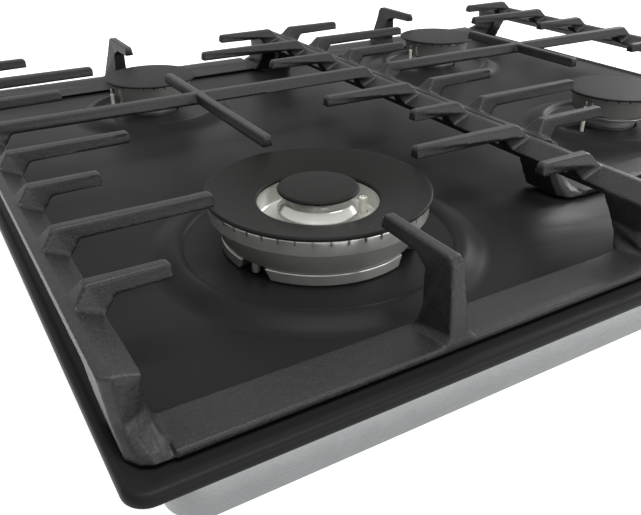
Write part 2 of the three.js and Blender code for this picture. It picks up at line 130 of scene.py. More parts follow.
def sumOf(tree, first, second):
    return addNode(tree, "ShaderNodeMath", {0: first, 1: second}, operation="ADD").outputs[0]


def finishMaterial(material, tree, inputs, height, distance, strength):
    bump = addNode(tree, "ShaderNodeBump", {"Height": height, "Distance": distance, "Strength": strength})
    shader = addNode(tree, "ShaderNodeBsdfPrincipled", {**inputs, "Normal": bump.outputs[0]})
    addNode(tree, "ShaderNodeOutputMaterial", {"Surface": shader.outputs[0]})
    return material


def grained(name, grain, colours, rough, bump, look):    # one noise drives colour, roughness and bump
    material, tree = newMaterial(name)
    value = noise(tree, objectSpace(tree), *grain)
    body = mixColour(tree, value, *colours)
    inputs = {"Base Color": body, "Roughness": spread(tree, value, *rough), **look}
    return finishMaterial(material, tree, inputs, value, *bump)


def satinEnamel():    # vitreous enamel fired on sheet steel: near black, soft sheen, faint orange peel
    material, tree = newMaterial("satin_vitreous_enamel")
    space = objectSpace(tree)
    peel, grain = noise(tree, space, 2.6, 2.0), noise(tree, space, 0.5, 3.0)
    rough = spread(tree, noise(tree, space, 60, 2.0), 0.36, 0.42)
    body = mixColour(tree, grain, "#1d1d1e", "#242425")
    inputs = {"Base Color": body, "Roughness": rough, "IOR": 1.5, "Specular IOR Level": 0.06}
    return finishMaterial(material, tree, inputs, sumOf(tree, peel, grain), 0.00002, 0.6)


def castIronEnamel():    # sand-cast iron under a thin matt enamel: grainy, dusty black, small pale flecks
    material, tree = newMaterial("matt_enamelled_cast_iron")
    space = objectSpace(tree)
    sand, lump = noise(tree, space, 1.1, 4.0), noise(tree, space, 5, 2.0)
    fleck = cells(tree, space, 1.5).outputs["Distance"]
    body = mixColour(tree, spread(tree, sand, 0, 1, 0.35, 0.65), "#181819", "#272728")
    body = mixColour(tree, spread(tree, fleck, 0.5, 0.0, 0.12, 0.26), body, "#454547")
    height = addNode(tree, "ShaderNodeMath", {0: lump, 1: 1.4, 2: sand}, operation="MULTIPLY_ADD").outputs[0]
    rough = spread(tree, sand, 0.38, 0.52)
    inputs = {"Base Color": body, "Roughness": rough, "IOR": 1.5, "Specular IOR Level": 0.3}
    return finishMaterial(material, tree, inputs, height, 0.00018, 0.8)


def capEnamel():    # matt enamel on a pressed steel cap: even charcoal, very fine peel, no gloss
    material, tree = newMaterial("matt_cap_enamel")
    space = objectSpace(tree)
    grain, peel = noise(tree, space, 0.7, 3.0), noise(tree, space, 3.5, 1.0)
    body, rough = mixColour(tree, grain, "#181817", "#1d1d1c"), spread(tree, peel, 0.46, 0.50)
    inputs = {"Base Color": body, "Roughness": rough, "IOR": 1.5, "Specular IOR Level": 0.07}
    return finishMaterial(material, tree, inputs, sumOf(tree, peel, grain), 0.00001, 0.4)


def turnedAluminium():    # die-cast aluminium turned and polished: bright silver, faint rings from the tool
    material, tree = newMaterial("turned_cast_aluminium")
    along = addNode(tree, "ShaderNodeAttribute", attribute_name="along").outputs["Fac"]
    # rings 1.1 mm apart, measured along the turned profile
    ringInputs = {"W": along, "Scale": 1 / 1.1, "Detail": 1.0}
    rings = addNode(tree, "ShaderNodeTexNoise", ringInputs, noise_dimensions="1D")
    skin = noise(tree, objectSpace(tree), 8, 1.0)
    body, rough = mixColour(tree, skin, "#c6c7c2", "#d2d2cd"), spread(tree, skin, 0.15, 0.21)
    inputs = {"Base Color": body, "Metallic": 0.55, "Roughness": rough}
    return finishMaterial(material, tree, inputs, rings.outputs[0], 0.0000015, 0.1)


def zincSheet():    # hot-dip galvanised sheet, rolled: grey with a weak spangle and level rolling lines
    material, tree = newMaterial("galvanised_steel_sheet")
    space = objectSpace(tree)
    spangle = cells(tree, space, 9).outputs["Color"]
    tone = addNode(tree, "ShaderNodeRGBToBW", {0: spangle}).outputs[0]
    rolled = addNode(tree, "ShaderNodeMapping", {"Vector": space, "Scale": (0.02, 0.02, 1.0)}).outputs[0]
    lines = noise(tree, rolled, 0.9, 3.0)
    body, rough = mixColour(tree, tone, "#8a8d8d", "#8f9292"), spread(tree, lines, 0.24, 0.30)
    inputs = {"Base Color": body, "Metallic": 1.0, "Roughness": rough}
    return finishMaterial(material, tree, inputs, lines, 0.00001, 0.4)


def foamRubber():    # closed-cell foam strip: dead black with open pores
    material, tree = newMaterial("closed_cell_foam")
    pores = cells(tree, objectSpace(tree), 0.9).outputs["Distance"]
    body, rough = mixColour(tree, pores, "#121213", "#2c2c2d"), spread(tree, pores, 0.8, 0.95)
    inputs = {"Base Color": body, "Roughness": rough}
    return finishMaterial(material, tree, inputs, pores, 0.0002, 0.8)


# the materials below: size and detail of the grain, two colours, roughness, bump depth and strength
metal = {"Metallic": 1.0}


def castAluminium():    # die-cast aluminium as it leaves the die: dull silver with a soft granular skin
    return grained("die_cast_aluminium", (1.6, 4.0), ("#8e908f", "#a6a7a5"),
                   (0.42, 0.55), (0.00006, 0.6), metal)


def drawnAluminium():    # drawn tube: pale metal, faintly mottled, with a soft shine
    return grained("drawn_aluminium_tube", (2, 3.0), ("#b0b2b1", "#c8c9c7"),
                   (0.32, 0.42), (0.00003, 0.5), metal)


def machinedBrass():    # brass bar turned and milled: yellow metal with a fine, slightly rough surface
    return grained("machined_brass", (1.2, 4.0), ("#b8944d", "#cdae6b"),
                   (0.28, 0.42), (0.00003, 0.5), metal)


def brightSteel():    # drawn stainless rod: mirror-like with light heat tint
    return grained("drawn_stainless_steel", (6, 2.0), ("#a7a8a6", "#b9b5ac"),
                   (0.22, 0.32), (0.00002, 0.4), metal)


def glazedCeramic():    # fired white ceramic under clear glaze: cream white, wet shine, tiny pits
    return grained("glazed_ceramic", (1.5, 2.0), ("#d9d6cb", "#ebe8df"),
                   (0.16, 0.26), (0.00003, 0.4), {"IOR": 1.55})


def siliconeRubber():    # moulded silicone: soft black with a dusty bloom
    return grained("moulded_silicone_rubber", (2, 3.0), ("#19191a", "#2b2b2c"),
                   (0.6, 0.75), (0.00005, 0.5), {"IOR": 1.41})


def mouldedPlastic(name, colours, rough):    # injection-moulded plastic: spark-eroded texture, even sheen
    return grained(name, (0.8, 3.0), colours, rough, (0.00003, 0.5), {"IOR": 1.53})


enamel = satinEnamel()
castIron = castIronEnamel()
capFinish = capEnamel()
crownMetal = turnedAluminium()
cupMetal = castAluminium()
tubeMetal = drawnAluminium()
casingMetal = zincSheet()
brass = machinedBrass()
ceramic = glazedCeramic()
steel = brightSteel()
foam = foamRubber()
silicone = siliconeRubber()
knobPlastic = mouldedPlastic("black_thermoset_plastic", ("#19191a", "#242425"), (0.34, 0.44))
sparkPlastic = mouldedPlastic("white_nylon", ("#d2d1ca", "#deddd6"), (0.42, 0.52))
glandPlastic = mouldedPlastic("black_nylon", ("#1c1c1d", "#28282a"), (0.45, 0.55))
markPaint = mouldedPlastic("pale_grey_paint", ("#b9b9b7", "#c6c6c3"), (0.45, 0.55))
print("materials made")


# Shape helpers: sizes and places are in millimetres
def eased(points, steps=4, closed=True):    # rounds each corner whose third number gives its reach
    out = []
    for i, point in enumerate(points):
        here = Vector(point[:2])
        reach = point[2] if len(point) > 2 else 0
        if not reach or (not closed and i in (0, len(points) - 1)):
            out.append(here)
            continue
        before, after = (Vector(points[k % len(points)][:2]) - here for k in (i - 1, i + 1))
        first = here + before.normalized() * min(reach, before.length * 0.49)
        last = here + after.normalized() * min(reach, after.length * 0.49)
        for s in range(steps + 1):
            t = s / steps
            out.append(first * (1 - t) ** 2 + here * 2 * t * (1 - t) + last * t * t)
    return out


def smoothShaded(mesh):
    mesh.polygons.foreach_set("use_smooth", [True] * len(mesh.polygons))


def sharpen(piece, degrees):    # edges that turn by more than this stay sharp
    piece.data.set_sharp_from_angle(angle=math.radians(degrees))


def newPiece(name, mesh, material, sharp=32):    # object at the origin, its place in its mesh
    mesh.materials.append(material)
    smoothShaded(mesh)
    piece = bpy.data.objects.new(name, mesh)
    sharpen(piece, sharp)
    scene.collection.objects.link(piece)
    return piece


def meshFrom(build):
    work = bmesh.new()
    build(work)
    mesh = bpy.data.meshes.new("shape")
    work.to_mesh(mesh)
    work.free()
    return mesh


def turnInto(work, profile, centre, sides):    # turns [radius, height] points about a vertical axis
    along = work.verts.layers.float.new("along")
    rings, run, last = [], 0.0, None
    for radius, height in profile:
        run += (Vector((radius, height)) - last).length if last is not None else 0
        last = Vector((radius, height))
        count = 1 if radius < 1e-6 else sides
        ring = []
        for i in range(count):
            t = 2 * math.pi * i / count
            spot = (centre[0] + radius * math.cos(t), centre[1] + radius * math.sin(t), height)
            vert = work.verts.new(Vector(spot) * mm)
            vert[along] = run
            ring.append(vert)
        rings.append(ring)
    faces = []
    for low, high in zip(rings, rings[1:] + rings[:1]):
        if len(low) == 1 and len(high) == 1:
            continue
        for i in range(sides):
            k = (i + 1) % sides
            corners = [low[i % len(low)], low[k % len(low)], high[k % len(high)], high[i % len(high)]]
            faces.append(work.faces.new(list(dict.fromkeys(corners))))
    bmesh.ops.recalc_face_normals(work, faces=faces)


def turned(name, profile, centre, material, sides=72, steps=4, sharp=32):
    points = [(p.x, p.y) for p in eased(profile, steps)]
    return newPiece(name, meshFrom(lambda work: turnInto(work, points, centre, sides)), material, sharp)


def outline(halfX, halfY, radius, arc=10, centre=(0, 0)):    # rounded rectangle, counter-clockwise from +X
    out = []
    for corner in range(4):
        sx = 1 if corner in (0, 3) else -1
        sy = 1 if corner < 2 else -1
        for i in range(arc + 1):
            t = (corner + i / arc) * math.pi / 2
            out.append((centre[0] + sx * (halfX - radius) + radius * math.cos(t),
                        centre[1] + sy * (halfY - radius) + radius * math.sin(t)))
    return out


def circle(centre, radius, count):
    return [(centre[0] + radius * math.cos(2 * math.pi * i / count),
             centre[1] + radius * math.sin(2 * math.pi * i / count)) for i in range(count)]


def around(centre, radius, degrees):
    turn = math.radians(degrees)
    return (centre[0] + radius * math.cos(turn), centre[1] + radius * math.sin(turn))


def loopInto(work, points, height):
    return [work.verts.new(Vector((x, y, height)) * mm) for x, y in points]


def bridge(work, low, high):
    faces = []
    for i in range(len(low)):
        k = (i + 1) % len(low)
        faces.append(work.faces.new([low[i], low[k], high[k], high[i]]))
    return faces


def bridgeAll(work, loops):
    for low, high in zip(loops, loops[1:]):
        bridge(work, low, high)


def stackInto(work, loops):    # closed solid through a stack of outlines
    bridgeAll(work, loops)
    work.faces.new(loops[0][::-1])
    work.faces.new(loops[-1])
    bmesh.ops.recalc_face_normals(work, faces=work.faces)


def edgesOf(work, ring):
    pairs = zip(ring, ring[1:] + ring[:1])
    return [work.edges.get(pair) or work.edges.new(pair) for pair in pairs]


def fillFlat(work, rings, up=True):    # fills one level between an outer ring and the holes in it
    edges = [edge for ring in rings for edge in edgesOf(work, ring)]
    normal = (0, 0, 1 if up else -1)
    made = bmesh.ops.triangle_fill(work, use_beauty=True, use_dissolve=False, edges=edges, normal=normal)
    for face in made["geom"]:
        if isinstance(face, bmesh.types.BMFace):
            face.normal_update()
            if (face.normal.z > 0) != up:
                face.normal_flip()


def rodInto(work, radius, start, end, sides=24):    # closed rod between two points
    start, end = Vector(start), Vector(end)
    size = {"radius1": radius * mm, "radius2": radius * mm, "depth": (end - start).length * mm}
    made = bmesh.ops.create_cone(work, cap_ends=True, segments=sides, **size)
    turn = (end - start).to_track_quat("Z", "Y").to_matrix().to_4x4()
    bmesh.ops.transform(work, matrix=Matrix.Translation((start + end) / 2 * mm) @ turn, verts=made["verts"])


def baked(piece):    # turns a piece's modifiers into its plain mesh
    bpy.context.view_layer.update()
    made = piece.evaluated_get(bpy.context.evaluated_depsgraph_get())
    mesh = bpy.data.meshes.new_from_object(made)
    piece.modifiers.clear()
    piece.data = mesh
    return piece


def addWall(piece, thickness):    # grows a sheet inwards from the surface
    wall = piece.modifiers.new("wall", "SOLIDIFY")
    wall.thickness = thickness * mm
    wall.offset = -1
    wall.use_even_offset = True
    return piece


def combine(piece, build, operation="DIFFERENCE"):    # cuts away the solid that build makes, or joins it on
    tool = bpy.data.objects.new("tool", meshFrom(build))
    scene.collection.objects.link(tool)
    step = piece.modifiers.new("step", "BOOLEAN")
    step.operation, step.solver, step.object = operation, "EXACT", tool
    baked(piece)
    bpy.data.objects.remove(tool)


def settle(piece, body, slot, *nodes):    # hands a finished piece to the frame
    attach(piece, body)
    if nodes:
        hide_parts(*nodes)


def middleOf(node):
    low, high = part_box(node)
    return ((low[0] + high[0]) / 2 / mm, (low[1] + high[1]) / 2 / mm)


# Burners. Radii: ring pressed into the tray, floor inside it, hole in the floor, cap, cup's neck and flange.
# Heights: top of the cap, pins' foot and how far their tips stay below the top. Pins: radius and degrees
# of the spark pin, then of the sensor. Sleeve: radius of its ceramic and length of the bare tip.
smallBurner = {
    "ring": 66, "floor": 46.5, "hole": 20, "cap": 36.5, "neck": 18.5, "flange": 19.2, "top": 74.6,
    "pins": ((34.8, 186), (36.2, 60)), "pinFoot": 35.1, "tipBelow": 5, "sleeve": (1.5, 4.2),
}
wokBurner = {
    "ring": 93, "floor": 73.5, "hole": 34, "cap": 61, "neck": 32.5, "flange": 53.2, "top": 77.5,
    "pins": ((27.6, -5), (28, -135)), "pinFoot": 19.7, "tipBelow": 10.5, "sleeve": (2.4, 0.7),
    "inner": 33,            # hole of the ring cap
    "dish": 6.5,            # how far the ring cap dips to that hole
    "sheet": 2.2,
    "middle": 22.1,         # radius of the middle cap
    "shift": (-1.5, -0.3),    # the photograph shows this burner a little left of and nearer than its node
}
wokCentre = tuple(a + b for a, b in zip(middleOf("wok_ring_cap"), wokBurner["shift"]))
burners = {"wok": {"centre": wokCentre, **wokBurner}}
for name in ("rear_left", "rear_right", "front_right"):
    burners[name] = {"centre": middleOf(name + "_cap"), **smallBurner}
knobPlaces = [middleOf(f"knob_{i}") for i in (1, 2, 3, 4)]

# Tray: one enamelled pressing with a rolled rim and a raised ring round each burner
tray = {
    "halfSize": (300, 260),
    "level": 44.6,
    "sheet": 1.4,
    "ringCrest": 5.0,
    "floorLevel": 46.8,
    "lip": ((1.5, 0), (0.5, 0.1), (0, 0.6)),    # turned-down edge of a burner's hole: out from it, down
    "knobHole": 6.0,
    "pinHole": 3.2,
    "rimTop": 46.0,
    # in from the edge, height, corner radius of that line
    "rim": [(0, 41, 10), (0, 42.9, 10), (0.7, 44.7, 9.5), (2.2, 45.8, 8.8), (4.2, 46.0, 7.9),
            (6.2, 45.6, 7.0), (8.2, 45.0, 6.0), (9.8, 44.7, 5.2), (11.0, 44.6, 4.6)],
}


def smoothRow(rows, steps=3):    # Catmull-Rom through rows of numbers
    out = []
    for i in range(len(rows) - 1):
        p = [rows[max(i - 1, 0)], rows[i], rows[i + 1], rows[min(i + 2, len(rows) - 1)]]
        for s in range(steps):
            t = s / steps
            out.append(tuple(0.5 * (2 * b + (c - a) * t + (2 * a - 5 * b + 4 * c - d) * t * t +
                             (3 * b - a - 3 * c + d) * t ** 3) for a, b, c, d in zip(*p)))
    out.append(tuple(rows[-1]))
    return out


def buildTray(work):
    level, low = tray["level"], tray["floorLevel"]
    crest = level + tray["ringCrest"]
    halfX, halfY = tray["halfSize"]
    rim = [loopInto(work, outline(halfX - inset, halfY - inset, radius), min(height, tray["rimTop"]))
           for inset, height, radius in smoothRow(tray["rim"])]
    bridgeAll(work, rim)
    holes = [rim[-1]]
    for burner in burners.values():
        centre, edge, floor, hole = (burner[key] for key in ("centre", "ring", "floor", "hole"))
        # from the flat tray up the outer slope, over the crest and steeply down to the burner's floor
        section = [(edge + 1.2, level), (edge, level), (edge - 3.5, level + 0.7), (edge - 8, level + 3.0),
                   (edge - 11.5, level + 4.5), (edge - 14.2, crest), (floor + 2.9, crest - 0.5),
                   (floor + 1.2, low + 1.2), (floor, low + 0.1), (floor - 1.6, low), (floor - 2.8, low)]
        rings = [loopInto(work, circle(centre, r, 96), min(z, crest)) for r, z in smoothRow(section)]
        bridgeAll(work, rings)
        holes.append(rings[0])
        lip = [loopInto(work, circle(centre, hole + out, 48), low - down) for out, down in tray["lip"]]
        bridgeAll(work, lip)
        inner = [rings[-1], lip[0]]
        for pin in burner["pins"]:
            if pin[0] > hole:    # pins outside the cup have a hole of their own
                inner.append(loopInto(work, circle(around(centre, *pin), tray["pinHole"], 20), low))
        fillFlat(work, inner)
    for centre in knobPlaces:
        holes.append(loopInto(work, circle(centre, tray["knobHole"], 32), level))
    fillFlat(work, holes)
    bmesh.ops.recalc_face_normals(work, faces=work.faces)
    middle = max(work.faces, key=lambda face: face.calc_area())
    if middle.normal.z < 0:
        bmesh.ops.reverse_faces(work, faces=work.faces)


topPlate = addWall(newPiece("tray_pressing", meshFrom(buildTray), enamel, 50), tray["sheet"])
settle(topPlate, "cooktop", "black_enamel", "top_plate")
print("tray made")

# Casing: zinc-coated sheet box with vent slots in its floor and holes in its back wall
casing = {
    "halfSize": (279, 239),
    "corner": 17,
    "sheet": 1.2,
    # in from the wall, height: down the wall and round the lower edge
    "section": [(0, 42.9), (0, 20), (0, 1.1), (0.12, 0.55), (0.5, 0.12), (1.1, 0), (5, 0)],
    "ventCount": 9,
    "ventPitch": (15, 0, 0),
    "ventFirst": (-56.5, 215, 0),
    "ventSlot": (7, 30, 8),
    "wallHoles": ((260, 20, 7.2), (150, 22, 6.8)),    # x, height and radius: gas inlet, mains gland
    "holeRun": (228, 246),
}


def buildCasing(work):
    halfX, halfY = casing["halfSize"]
    loops = [loopInto(work, outline(halfX - inset, halfY - inset, casing["corner"] - inset, 12), z)
             for inset, z in casing["section"]]
    for low, high in zip(loops, loops[1:]):
        bridge(work, high, low)
    fillFlat(work, [loops[-1]], up=False)
    bmesh.ops.recalc_face_normals(work, faces=work.faces)
    bottom = min(work.faces, key=lambda face: face.calc_center_median().z)
    if bottom.normal.z > 0:
        bmesh.ops.reverse_faces(work, faces=work.faces)


def newTree(name, sizes):    # geometry node tree with named inputs
    tree = bpy.data.node_groups.new(name, "GeometryNodeTree")
    tree.interface.new_socket("Geometry", in_out="INPUT", socket_type="NodeSocketGeometry")
    for label, kind in sizes.items():
        tree.interface.new_socket(label, in_out="INPUT", socket_type="NodeSocket" + kind)
    tree.interface.new_socket("Geometry", in_out="OUTPUT", socket_type="NodeSocketGeometry")
    return tree, addNode(tree, "NodeGroupInput").outputs, addNode(tree, "NodeGroupOutput")


def useTree(piece, tree, **values):    # sets the inputs by their identifiers and bakes the result
    modifier = piece.modifiers.new(tree.name, "NODES")
    modifier.node_group = tree
    for item in tree.interface.items_tree:
        label = item.name.lower()
        if item.item_type == "SOCKET" and item.in_out == "INPUT" and label in values:
            modifier[item.identifier] = values[label]
    baked(piece)


def realCopies(tree, points, shape, turn=None):    # a copy of the shape on every point, as a real mesh
    inputs = {"Points": points, "Instance": shape}
    if turn:
        inputs["Rotation"] = turn
    many = addNode(tree, "GeometryNodeInstanceOnPoints", inputs)
    return addNode(tree, "GeometryNodeRealizeInstances", {0: many.outputs[0]}).outputs[0]


def giveOut(tree, shape, start, end):    # paints the result with the metal that came in
    paint = addNode(tree, "GeometryNodeSetMaterial", {"Geometry": shape, "Material": start["Metal"]})
    tree.links.new(paint.outputs[0], end.inputs[0])


def cutOut(tree, start, cutters):
    return addNode(tree, "GeometryNodeMeshBoolean", {"Mesh 1": start["Geometry"], "Mesh 2": cutters},
                   operation="DIFFERENCE", solver="EXACT").outputs[0]


def ringOfPorts():    # cuts a ring of upright slots into a turned wall
    tree, start, end = newTree("ring of flame ports", {
        "Count": "Int", "Radius": "Float", "Slot": "Vector", "Middle": "Vector", "Metal": "Material"})
    ring = addNode(tree, "GeometryNodeMeshCircle", {"Vertices": start["Count"], "Radius": start["Radius"]})
    spot = addNode(tree, "GeometryNodeInputPosition").outputs[0]
    turn = addNode(tree, "FunctionNodeAlignRotationToVector", {"Vector": spot}, axis="X", pivot_axis="Z")
    cutter = addNode(tree, "GeometryNodeMeshCube", {"Size": start["Slot"]})
    real = realCopies(tree, ring.outputs[0], cutter.outputs[0], turn.outputs[0])
    moved = addNode(tree, "GeometryNodeTransform", {"Geometry": real, "Translation": start["Middle"]})
    giveOut(tree, cutOut(tree, start, moved.outputs[0]), start, end)
    return tree


def rowOfVents():    # cuts a row of slots through the casing floor
    tree, start, end = newTree("row of vent slots", {
        "Count": "Int", "Pitch": "Vector", "First": "Vector", "Slot": "Vector", "Metal": "Material"})
    row = addNode(tree, "GeometryNodeMeshLine", {
        "Count": start["Count"], "Start Location": start["First"], "Offset": start["Pitch"]})
    cutter = addNode(tree, "GeometryNodeMeshCube", {"Size": start["Slot"]})
    giveOut(tree, cutOut(tree, start, realCopies(tree, row.outputs[0], cutter.outputs[0])), start, end)
    return tree


def rivetHeads():    # a domed rivet head on every point of the mesh that comes in
    tree, start, end = newTree("rivet heads", {"Radius": "Float", "Rise": "Float", "Metal": "Material"})
    head = addNode(tree, "GeometryNodeMeshUVSphere", {"Segments": 16, "Rings": 8, "Radius": start["Radius"]})
    flat = addNode(tree, "ShaderNodeCombineXYZ", {"X": start["Rise"], "Y": 1.0, "Z": 1.0})
    squat = addNode(tree, "GeometryNodeTransform", {"Geometry": head.outputs[0], "Scale": flat.outputs[0]})
    giveOut(tree, realCopies(tree, start["Geometry"], squat.outputs[0]), start, end)
    return tree


def buildWallHoles(work):
    near, far = casing["holeRun"]
    for x, z, radius in casing["wallHoles"]:
        rodInto(work, radius, (x, near, z), (x, far, z))


burnerBox = newPiece("casing_shell", meshFrom(buildCasing), casingMetal)
baked(addWall(burnerBox, casing["sheet"]))
ventPitch, ventFirst, ventSlot = (Vector(casing[key]) * mm for key in ("ventPitch", "ventFirst", "ventSlot"))
useTree(burnerBox, rowOfVents(), count=casing["ventCount"], pitch=ventPitch, first=ventFirst, slot=ventSlot,
        metal=casingMetal)
combine(burnerBox, buildWallHoles)
sharpen(burnerBox, 32)
settle(burnerBox, "cooktop", "galvanised_steel", "burner_box")

# Worktop clamps: bent strips on the side walls, each held by two rivets
clamp = {
    "middles": (-130, 130),    # along the wall
    "halfWidth": 9,
    "sheet": 1.3,
    "offWall": 0.8,
    "path": [(0, 33.8), (0, 8.8, 2.5), (14.4, 8.8, 2.0), (14.4, 13.8)],    # out from the wall, height, easing
    "rivets": ((-4.5, 26), (4.5, 26)),    # beside the middle, height
    "rivetOut": 1.5,
    "rivetRadius": 2.2,
    "rivetRise": 0.45,    # height of the dome as a share of its radius
}


def bandInto(work, path, thickness, y0, y1):    # bent strip: path of (x, z) points, width from y0 to y1
    path = [Vector(p) for p in path]
    sides = [[], []]
    for i, here in enumerate(path):
        before = (here - path[i - 1]).normalized() if i else (path[1] - here).normalized()
        after = (path[i + 1] - here).normalized() if i < len(path) - 1 else before
        bend = (before + after).normalized()
        across = Vector((-bend.y, bend.x)) * thickness / 2 / max(bend.dot(before), 0.5)
        for side, sign in zip(sides, (1, -1)):
            side.append(here + across * sign)
    ring = sides[0] + sides[1][::-1]
    ends = [[work.verts.new(Vector((p.x, y, p.y)) * mm) for p in ring] for y in (y0, y1)]
    faces = bridge(work, ends[0], ends[1])
    faces += [work.faces.new(ends[0]), work.faces.new(ends[1][::-1])]
    bmesh.ops.recalc_face_normals(work, faces=faces)


def buildClamps(work):
    half = clamp["halfWidth"]
    for y in clamp["middles"]:
        for side in (-1, 1):
            wall = side * (casing["halfSize"][0] + clamp["offWall"])
            path = [(wall + side * out, *rest) for out, *rest in clamp["path"]]
            bandInto(work, eased(path, 4, closed=False), clamp["sheet"], y - half, y + half)


def buildRivetPoints(work):
    for y in clamp["middles"]:
        for side in (-1, 1):
            for beside, z in clamp["rivets"]:
                x = side * (casing["halfSize"][0] + clamp["rivetOut"])
                work.verts.new(Vector((x, y + beside, z)) * mm)


clamps = newPiece("worktop_clamps", meshFrom(buildClamps), casingMetal)
settle(clamps, "cooktop", "galvanised_steel", "burner_box")
rivets = newPiece("clamp_rivets", meshFrom(buildRivetPoints), casingMetal)
useTree(rivets, rivetHeads(), radius=clamp["rivetRadius"] * mm, rise=clamp["rivetRise"], metal=casingMetal)
smoothShaded(rivets.data)
settle(rivets, "cooktop", "galvanised_steel", "burner_box")

# Soft foam strip stuck under the rim
seal = {
    # half width, height, corner radius
    "section": [(281, 41.3, 12), (281.3, 41.05, 12), (287.4, 41.05, 8), (287.9, 41.3, 8), (287.9, 42.2, 8),
                (287.4, 42.45, 8), (281.3, 42.45, 12), (281, 42.2, 12)],
    "narrower": 40,    # from its half width to its half depth
}


def buildSeal(work):
    loops = [loopInto(work, outline(half, half - seal["narrower"], radius, 6), z)
             for half, z, radius in seal["section"]]
    bridgeAll(work, loops + loops[:1])
    bmesh.ops.recalc_face_normals(work, faces=work.faces)


settle(newPiece("foam_seal", meshFrom(buildSeal), foam, 60), "cooktop", "foam_rubber", "worktop_seal")
print("casing made")

# Crowns: turned castings with a ring of flame ports; slot: through the wall, across it, upright
portTree = ringOfPorts()
outerPorts = {"count": 44, "radius": 59, "slot": (5, 1.3, 4.6)}
towerPorts = {"count": 18, "radius": 18.6, "slot": (3, 1.2, 2)}
smallPorts = {"count": 24, "radius": 31, "slot": (9, 1.2, 3.4)}
wokCasting = {
    "pinHole": (3.0, 50, 59),    # radius, from and to this height
    # round hollow beside the tower
    "recess": {"radius": 4.6, "degrees": 150, "from": 31, "to": 41, "height": 63},
    "peg": [(0, 48.1), (1.6, 48.1, 0.5), (2.2, 48.7, 0.4), (2.2, 53.4), (0, 53.4)],
    "pegInset": 2.6,    # in from the edge of the cup's flange
}
# notches part the flange of the wok cup into tabs with slanted ends
notch = {
    "degrees": (-158.5, -58.5, 61.5),
    "reach": (44, 56),
    "levels": ((47.0, 12), (54.0, 8)),    # height, half its angle there
}


def cutPorts(crown, ports, centre, height):
    slot, middle = Vector(ports["slot"]) * mm, Vector((*centre, height)) * mm
    useTree(crown, portTree, count=ports["count"], radius=ports["radius"] * mm, slot=slot, middle=middle,
            metal=crownMetal)


def wokCrown():
    burner = burners["wok"]
    top = burner["top"] - 2.6
    centre = burner["centre"]
    # the walls end just under the dished ring cap, the tower just under the middle cap
    profile = [
        (16.6, 53.5), (52.3, 53.5, 0.2), (52.8, 54.0, 0.3), (58.1, 65.9, 0.6), (58.5, 66.4, 0.3),
        (59.1, 66.6, 0.3), (59.3, 67.1, 0.3), (59.3, top - 0.4, 0.3), (58.8, top), (52.6, top - 1.7, 0.3),
        (52.6, 62.6, 1.0), (37.6, 62.6, 1.0), (37.6, top - 5.3, 0.3), (34.1, top - 6.2, 0.5),
        (33.9, 57.5, 2.0), (22.6, 57.0, 0.8), (22.4, 65.4, 0.7), (21.4, 66.5, 0.6), (19.2, 69.2, 0.6),
        (18.6, 70.2, 0.4), (18.6, top + 0.5, 0.3), (16.6, top + 0.5, 0.3)]
    crown = turned("wok_flame_spreader", profile, centre, crownMetal, 144, 3)
    cutPorts(crown, outerPorts, centre, top - 0.3)
    cutPorts(crown, towerPorts, centre, top)

    def buildHoles(work):
        radius, foot, end = wokCasting["pinHole"]
        for pin in burner["pins"]:
            spot = around(centre, *pin)
            rodInto(work, radius, (*spot, foot), (*spot, end), 20)
        recess = wokCasting["recess"]
        ends = [(*around(centre, recess[key], recess["degrees"]), recess["height"]) for key in ("from", "to")]
        rodInto(work, recess["radius"], *ends, 24)

    combine(crown, buildHoles)
    sharpen(crown, 28)
    settle(crown, "wok_crown", "die_cast_aluminium", "wok_crown")
    spot = around(centre, burner["flange"] - wokCasting["pegInset"], notch["degrees"][0])
    peg = turned("wok_locating_peg", wokCasting["peg"], spot, crownMetal, 24, 3)
    settle(peg, "wok_crown", "die_cast_aluminium", "wok_crown")


def smallCrown(name):
    burner = burners[name]
    top = burner["top"] - 1.9
    profile = [
        (15.6, 53.5), (24.5, 53.5, 0.3), (24.5, 55.4, 0.3), (27.2, 55.5, 0.3), (27.4, 56.1, 0.3),
        (27.2, 56.6, 0.3), (25.4, 56.8, 0.3), (25.4, 58.2, 0.3), (29.4, 58.4, 0.5), (30.1, 59.2, 0.5),
        (31.4, top - 2.6, 0.5), (32.0, top - 1.9, 0.3), (32.0, top - 0.3, 0.3), (31.6, top),
        (28.6, top), (28.6, 61.5, 1.0), (12.1, 61.5, 0.6), (12.1, 57.5), (15.6, 57.5)]
    crown = turned(name + "_flame_spreader", profile, burner["centre"], crownMetal, 96, 3)
    cutPorts(crown, smallPorts, burner["centre"], top - 0.2)
    sharpen(crown, 28)
    settle(crown, name + "_crown", "die_cast_aluminium", name + "_crown")


